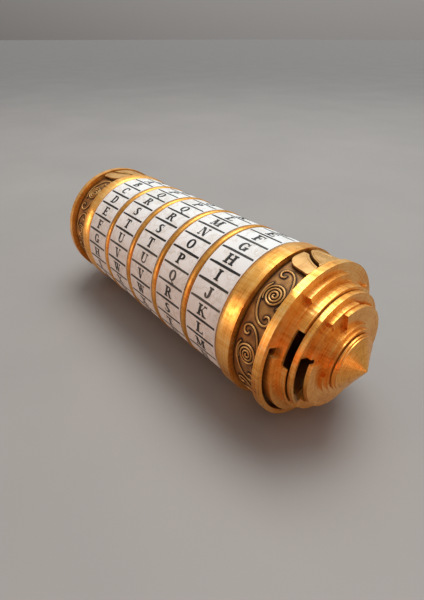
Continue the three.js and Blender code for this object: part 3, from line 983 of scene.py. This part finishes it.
def make_scroll_band(end, start):
    """A recessed band with its scrolls: a ring of small faces, so that the wash and painted shade can
    follow the lines.
    """
    middle = (start + BAND_END) / 2
    inner = HUB_RADIUS + SEAT_GAP
    across = [(start + (BAND_END - start) * i / STRIPS, BAND_RADIUS) for i in range(STRIPS + 1)]
    section = [(BAND_END, inner), (start, inner)] + across
    band = spun(f"{end}_band", section, step=BAND_STEP)
    shift = math.radians(SPIRAL_ANGLE) * BAND_RADIUS
    spiral, upper, lower = motif_lines()
    curves = [[Vector(p) for p in spiral], smooth_line(upper), smooth_line(lower)]
    curves = [[p + Vector((0, shift)) for p in points] for points in curves]
    motif = raised_lines("motif", curves, middle, LINE_RADIUS, LINE_HEIGHT)
    pieces = []
    lines = []
    for i in range(MOTIFS):
        pieces.append(turned(copied(motif, "motif"), i * MOTIF_TURN))
        shift = math.radians(i * MOTIF_TURN) * BAND_RADIUS
        lines += [(p.x, p.y + shift) for points in curves for p in points]
    bpy.data.objects.remove(motif)
    scrolls = joined(pieces, f"{end}_scrolls")
    for piece in (band, scrolls):
        washed_and_shaded(piece, middle, lines, (BAND_END - start) / 2)
    return band, scrolls


# Petals on the flat band: (across from the band's middle, degrees round), in order round the edge
FRONT_PETAL = [(-4.7, -5.0), (-4.75, 1.5), (-4.6, 6.0), (-3.7, 9.4), (-2.2, 11.9), (0.0, 13.2), (2.4, 13.8),
               (4.8, 13.9), (4.8, 5.5), (3.4, 4.0), (1.7, 2.3), (0.0, 0.2), (-1.4, -2.2), (-2.7, -5.0)]
BACK_PETAL = [(-3.0, -8.4), (-1.6, -5.6), (0.2, -2.9), (2.0, -0.9), (3.6, 0.6), (4.8, 1.5), (4.8, -20.0),
              (2.0, -22.0), (-2.0, -22.5), (-4.4, -21.0), (-4.75, -15.0), (-4.2, -11.0)]
PETAL_THICK = 1.7
PETAL_EDGE = 0.16
PETAL_LIFT = 0.02
# The sides of a petal are darkened up to this far below its top, by wash and by painted shade
PETAL_SIDE_SHADE_AND_WASH = 0.75
PETAL_RUBBED = 0.3
PETAL_SLICE = 0.8
# Thin ridges on the petals, one beside each edge of the groove and one across the back petal
PETAL_RIDGES = [[(4.6, 6.6), (3.2, 5.2), (1.4, 3.5), (-0.4, 1.3), (-1.9, -1.2), (-3.2, -4.0)],
                [(-2.6, -9.0), (-1.2, -6.5), (0.6, -3.9), (2.4, -2.0), (3.9, -0.8), (4.6, -0.3)],
                [(-3.9, -10.6), (-2.7, -12.4), (-1.4, -14.0), (0.4, -15.3), (2.4, -16.2)]]
RIDGE_RADIUS = 0.2
RIDGE_LIFT = 0.04


def make_petal(name, start, edge):
    """One raised petal: its outline drawn flat, lifted, rounded and laid on the band."""
    middle = (start + BAND_END) / 2
    wide = (BAND_END - start) / (BAND_END - BAND_START)
    points = [(x * wide, math.radians(degrees) * BAND_RADIUS) for x, degrees in edge]
    smooth = smooth_line(points + [points[0]], 4)[:-1]
    petal = flat_curve(name, smooth, PETAL_THICK / 2)
    selected(petal)
    bpy.ops.object.convert(target="MESH")
    editing(petal)
    bpy.ops.mesh.remove_doubles(threshold=MERGE)
    bpy.ops.mesh.dissolve_limited(angle_limit=0.01)
    faced_out(petal)
    softened(petal, PETAL_EDGE, 2, 50)
    low, high = min(p.y for p in smooth), max(p.y for p in smooth)
    sliced(petal, math.floor(low), high, PETAL_SLICE)
    # Painted shade with the wash: the petal's sides are dark, and its top is left light
    dark = petal.data.attributes.new("wash", "FLOAT", "POINT")
    for v in petal.data.vertices:
        rise = v.co.z / MM + PETAL_THICK / 2
        dark.data[v.index].value = PETAL_SIDE_SHADE_AND_WASH if rise < PETAL_THICK - PETAL_RUBBED else 0.0
        degrees = math.degrees(v.co.y / MM / BAND_RADIUS)
        v.co = on_drum(middle + v.co.x / MM, degrees, BAND_RADIUS + PETAL_LIFT + rise)
    editing(petal)
    return faced_out(petal)


def make_ridges(name, start):
    """The thin ridges that lie on the petals."""
    wide = (BAND_END - start) / (BAND_END - BAND_START)
    lines = [smooth_line([(x * wide, math.radians(degrees) * BAND_RADIUS) for x, degrees in ridge])
             for ridge in PETAL_RIDGES]
    return raised_lines(name, lines, (start + BAND_END) / 2, RIDGE_RADIUS, PETAL_THICK + RIDGE_LIFT)


def make_caps():
    """Both caps: the near one rides on the chamber, and the far one on the barrel."""
    body = make_cap_body("near_rim", RIM_END, CHAMBER_RADIUS, MOUTH_RADIUS)
    far_body = make_cap_body("far_rim", FAR_RIM_END, BARREL_RADIUS, BARREL_RADIUS + SEAT_GAP)
    placed(body, "chamber", GOLD, ["near_cap_body"])
    placed(moved_far(far_body), "barrel", GOLD, ["far_cap_body"])
    for piece, stem in ((make_end_plate(), "end_plate"), (make_crown(), "crown"), (make_cone(), "cone")):
        twin = far_side(piece, piece.name.replace("near", "far"))
        placed(piece, "chamber", GOLD, [f"near_{stem}"])
        placed(twin, "barrel", GOLD, [f"far_{stem}"])
    for end, start, body_name in (("near", BAND_START, "chamber"), ("far", FAR_BAND_START, "barrel")):
        band, scrolls = make_scroll_band(end, start)
        front = make_petal(f"{end}_petal_front", start, FRONT_PETAL)
        back = make_petal(f"{end}_petal_back", start, BACK_PETAL)
        ridges = make_ridges(f"{end}_petal_ridges", start)
        washed_shaded_pieces = [(band, "scroll_band"), (scrolls, None), (front, "leaf_front"), (back, "leaf_back"),
                         (ridges, None)]
        for piece, stem in washed_shaded_pieces:
            if end == "far":
                piece = moved_far(piece)
            placed(piece, body_name, WASHED_SHADED, [f"{end}_{stem}"] if stem else [])


# ---------------------------------------------------------------- inner works

# Walls of the two tubes, and the floor of the barrel's slot
BARREL_WALL = 2.5
CHAMBER_WALL = 2.0
SLOT_FLOOR = 15.4
BARREL_EDGE = 0.15
RING_EDGE = 0.2
COMB_EDGE = 0.25
# Screws: how far the hole is wider, and how far a ring screw lies below the ring's face
HOLE_GAP = 0.3
RING_SCREW = 1.1
RING_SCREW_FOOT = 17.1
RING_SCREW_SUNK = 0.4
RING_SCREWS = 3
COMB_SCREW = 1.0
COMB_SCREW_FOOT = 14.4
COMB_SCREW_HEAD = 1.9
COMB_HOLE_START = 13
COMB_HOLE_END = 19.8
COMB_SCREW_PLACES = (-30.6, 30.6)
# The comb: half its width, the height of its rail, and where a tooth's root starts in it
COMB_HALF = 2
RAIL_HEIGHT = 2.2
TOOTH_ROOT = 1
TUBE_BEVEL = 0.4


def make_barrel():
    """The slotted barrel with its keeper ring, and the ring's screws."""
    inner = BARREL_RADIUS - BARREL_WALL
    section = [(BARREL_START, inner), (BARREL_END, inner), (BARREL_END, BARREL_RADIUS),
               (BARREL_START, BARREL_RADIUS)]
    barrel = spun("barrel_sleeve", section, step=INNER_STEP)
    half = GATE_WIDTH / 2
    slot = block("slot", (-CAP_START - 2, -half, -GATE_RADIUS), (BARREL_END + OVERCUT, half, -SLOT_FLOOR))
    combined(barrel, slot, "DIFFERENCE")
    section = [(RING_START, BARREL_RADIUS + SEAT_GAP), (RING_END, BARREL_RADIUS + SEAT_GAP),
               (RING_END, RING_RADIUS), (RING_START, RING_RADIUS)]
    ring = gate_cut(spun("keeper_ring", section, step=INNER_STEP), RING_START, RING_END)
    middle = (RING_START + RING_END) / 2
    for i in range(RING_SCREWS):
        degrees = i * 360 / RING_SCREWS
        for piece in (barrel, ring):
            hole = pin("hole", middle, RING_SCREW + HOLE_GAP, SLOT_FLOOR, RING_RADIUS + OVERCUT, degrees)
            combined(piece, hole, "DIFFERENCE")
        screw = grub_screw(f"keeper_screw_{i + 1}", middle, RING_SCREW, RING_SCREW_FOOT,
                           RING_RADIUS - RING_SCREW_SUNK, degrees)
        placed(screw, "barrel", STEEL, [f"ring_screw_{i + 1}"])
    placed(softened(barrel, BARREL_EDGE), "barrel", MATT_GOLD, ["barrel_tube"])
    placed(softened(ring, RING_EDGE), "barrel", MATT_GOLD, ["retaining_ring"])


def make_chamber():
    """The message tube and the toothed comb screwed to it."""
    bore = CHAMBER_RADIUS - CHAMBER_WALL
    section = [(CHAMBER_START, bore + 0.7), (CHAMBER_START + 0.9, bore), (CHAMBER_END, bore),
               (CHAMBER_END, CHAMBER_RADIUS), (CHAMBER_START + TUBE_BEVEL, CHAMBER_RADIUS),
               (CHAMBER_START, CHAMBER_RADIUS - TUBE_BEVEL)]
    tube = spun("message_tube", section, step=INNER_STEP)
    low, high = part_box("locking_comb")
    base, top = -high.z / MM, -low.z / MM
    comb = block("comb", (low.x / MM, -COMB_HALF, -(base + RAIL_HEIGHT)), (high.x / MM, COMB_HALF, -base))
    for i in range(DIALS):
        centre = (i - (DIALS - 1) / 2) * DIAL_PITCH
        tooth = block("tooth", (centre - COMB_HALF, -COMB_HALF, -top),
                      (centre + COMB_HALF, COMB_HALF, -(base + TOOTH_ROOT)))
        combined(comb, tooth, "UNION")
    for number, place in enumerate(COMB_SCREW_PLACES, 1):
        for piece in (tube, comb):
            hole = pin("hole", place, COMB_SCREW + HOLE_GAP, COMB_HOLE_START, COMB_HOLE_END, 180)
            combined(piece, hole, "DIFFERENCE")
        screw = grub_screw(f"comb_pin_{number}", place, COMB_SCREW, COMB_SCREW_FOOT,
                           base + COMB_SCREW_HEAD, 180)
        placed(screw, "chamber", STEEL, [f"comb_screw_{number}"])
    placed(softened(tube, BARREL_EDGE), "chamber", MATT_GOLD, ["chamber_tube"])
    placed(softened(comb, COMB_EDGE), "chamber", STEEL, ["locking_comb"])
    for name in ("near_cap_bolt", "far_cap_bolt"):
        finished(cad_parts[name], STEEL)


def pin(name, x, radius, low, high, degrees):
    """A round pin standing out from the axis at an angle round the drum."""
    bpy.ops.object.select_all(action="DESELECT")
    bpy.ops.mesh.primitive_cylinder_add(vertices=32, radius=radius * MM, depth=(high - low) * MM,
                                        location=(x * MM, 0, (low + high) / 2 * MM))
    piece = bpy.context.object
    piece.name = name
    bpy.ops.object.transform_apply(location=True, rotation=True, scale=True)
    return turned(piece, degrees)


# A screw's slot: half its width and its depth
GROOVE_HALF = 0.22
GROOVE_DEPTH = 0.6
SCREW_EDGE = 0.08


def grub_screw(name, x, radius, low, high, degrees):
    """A headless screw with a slot across its outer end."""
    screw = pin(name, x, radius, low, high, 0)
    reach_out = radius + OVERCUT
    groove = block("groove", (x - reach_out, -GROOVE_HALF, high - GROOVE_DEPTH),
                   (x + reach_out, GROOVE_HALF, high + OVERCUT))
    combined(screw, groove, "DIFFERENCE")
    softened(screw, SCREW_EDGE, 1)
    return turned(screw, degrees)


make_dials()
make_spacers()
make_caps()
make_barrel()
make_chamber()


# ---------------------------------------------------------------- floor, light, camera

# Metres from here on. The table runs on past every view, just below the rims
TABLE_SIZE = 60
TABLE_GAP = 0.00005
# The side that the pale window light comes from
WINDOW_SIDE = Vector((-0.15, 0.36, 0.92))
WINDOW_STRENGTH = 0.8
WINDOW_ANGLE = 38
# Lamps: name, place, what it points at, size, watts, colour
LAMPS = [
    ("ceiling panel", (-0.16, 0.3, 0.85), (0, 0, 0), (0.7, 0.45), 5.0, "#FFFEFA"),
    ("side lamp", (-0.46, -0.6, 0.17), (0.05, 0, 0), (0.16, 0.3), 1.3, "#FFE2CA"),
    ("end lamp", (0.75, -0.2, 0.12), (0.08, 0, 0), (0.45, 0.35), 1.5, "#FFB87E"),
    ("warm lamp", (0.05, -0.42, 0.03), (0.03, 0, 0), (0.35, 0.06), 0.22, "#FF8A3C"),
]
CAMERA_PLACE = Vector((0.1301, -0.0967, 0.0886))
CAMERA_AHEAD = Vector((-0.6428, 0.5297, -0.5534))
SENSOR = 36
LENS = 23.674
NEAREST = 0.005


def make_table():
    """A pale laminate table under the drum."""
    bpy.ops.object.select_all(action="DESELECT")
    bpy.ops.mesh.primitive_plane_add(size=TABLE_SIZE, location=(0, 0, -RIM_RADIUS * MM - TABLE_GAP))
    table = bpy.context.object
    table.name = "table_top"
    made = material("pale_laminate")
    tree = made.node_tree
    where = node(tree, "ShaderNodeTexCoord").outputs["Object"]
    cloud = node(tree, "ShaderNodeTexNoise", _0=where, Scale=9.0, Detail=3.0).outputs[0]
    colour = ramp(tree, cloud, (0.3, "#8A8988"), (0.7, "#918F8E"))
    shader = node(tree, "ShaderNodeBsdfPrincipled", Base_Color=colour, Roughness=0.6)
    node(tree, "ShaderNodeOutputMaterial", Surface=shader.outputs[0])
    finished(table, made)


def area_light(name, place, target, size, power, colour):
    """A flat lamp that points at a place."""
    data = bpy.data.lights.new(name, "AREA")
    data.shape = "RECTANGLE"
    data.size, data.size_y = size
    data.energy = power
    data.color = linear(colour)[:3]
    lamp = bpy.data.objects.new(name, data)
    bpy.context.collection.objects.link(lamp)
    lamp.location = place
    lamp.rotation_mode = "QUATERNION"
    lamp.rotation_quaternion = (Vector(target) - Vector(place)).to_track_quat("-Z", "Y")


def make_light():
    """A soft room, a wide pale window overhead, and the lamps."""
    world = bpy.data.worlds.new("soft room")
    bpy.context.scene.world = world
    world.use_nodes = True
    tree = world.node_tree
    way = node(tree, "ShaderNodeTexCoord").outputs["Generated"]
    towards = node(tree, "ShaderNodeVectorMath", {"operation": "DOT_PRODUCT"}, _0=way, _1=WINDOW_SIDE)
    share = node(tree, "ShaderNodeMapRange", _0=towards.outputs["Value"], _1=-1.0, _2=1.0)
    colour = ramp(tree, share.outputs[0], (0.3, "#1E1B19"), (0.5, "#423E3C"), (0.72, "#928F8D"),
                  (0.96, "#E4E4E4"))
    tree.links.new(colour, tree.nodes["Background"].inputs[0])
    bpy.context.scene.view_settings.view_transform = "Standard"
    data = bpy.data.lights.new("window", "SUN")
    data.energy = WINDOW_STRENGTH
    data.angle = math.radians(WINDOW_ANGLE)
    data.color = linear("#FFFEFA")[:3]
    window = bpy.data.objects.new("window", data)
    bpy.context.collection.objects.link(window)
    window.rotation_euler = WINDOW_SIDE.to_track_quat("Z", "Y").to_euler()
    for lamp in LAMPS:
        area_light(*lamp)


def make_camera():
    """The camera, above the near end and looking down along the drum."""
    data = bpy.data.cameras.new("camera")
    camera = bpy.data.objects.new("camera", data)
    bpy.context.collection.objects.link(camera)
    bpy.context.scene.camera = camera
    data.sensor_width = SENSOR
    data.lens = LENS
    data.clip_start = NEAREST
    ahead = CAMERA_AHEAD.normalized()
    right = ahead.cross(Vector((0, 0, 1))).normalized()
    up = right.cross(ahead)
    aim = Matrix((right, up, -ahead)).transposed().to_4x4()
    camera.matrix_world = Matrix.Translation(CAMERA_PLACE) @ aim


make_table()
make_light()
make_camera()
